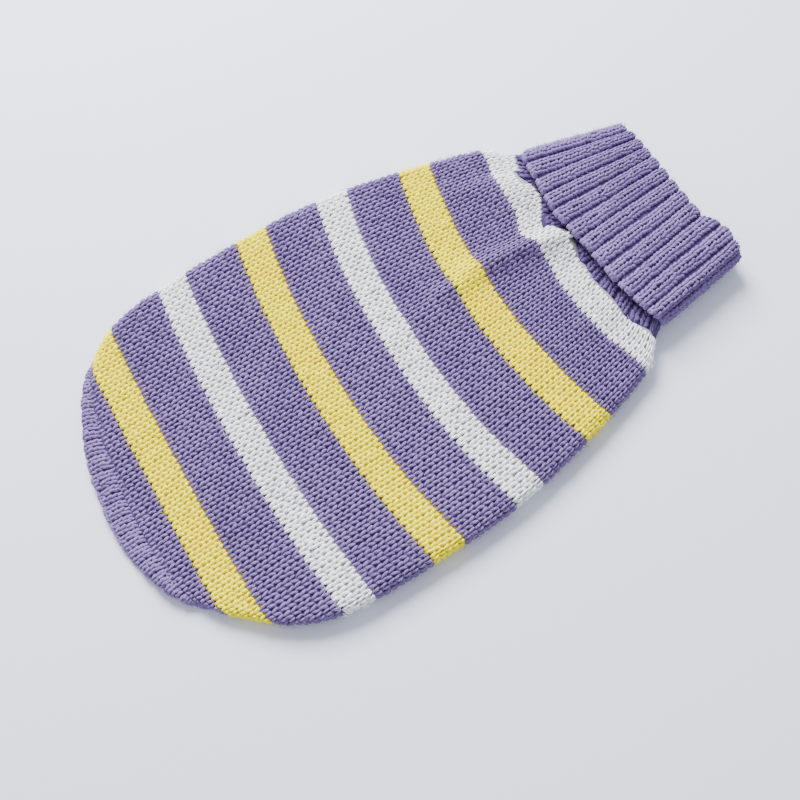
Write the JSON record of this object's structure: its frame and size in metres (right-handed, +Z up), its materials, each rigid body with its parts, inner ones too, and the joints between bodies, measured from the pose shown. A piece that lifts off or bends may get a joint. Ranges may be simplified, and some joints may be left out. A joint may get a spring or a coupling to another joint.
{
  "type": "dog sweater",
  "caption": "Small dog's turtleneck sweater in striped knit, laid flat with its back up, with a ribbed turned-down collar and a ribbed hem.",
  "frame": {"origin": "on the table, under the middle of the sweater's box", "axes": "+X from the tail to the collar, +Y to the sweater's far side, +Z up from the table"},
  "size_m": [0.3074, 0.1782, 0.0175],
  "materials": {
    "striped_knit": "soft matte stockinette knit in lilac with yellow and white stripes",
    "plain_knit": "soft matte stockinette knit in lilac",
    "rib_knit": "soft matte ribbed knit in lilac"
  },
  "bodies": {
    "root": {"back_panel": "striped_knit", "belly_panel": "plain_knit", "collar": "rib_knit", "hem_band": "rib_knit", "leg_band_left": "rib_knit", "leg_band_right": "rib_knit"}
  },
  "joints": []
}
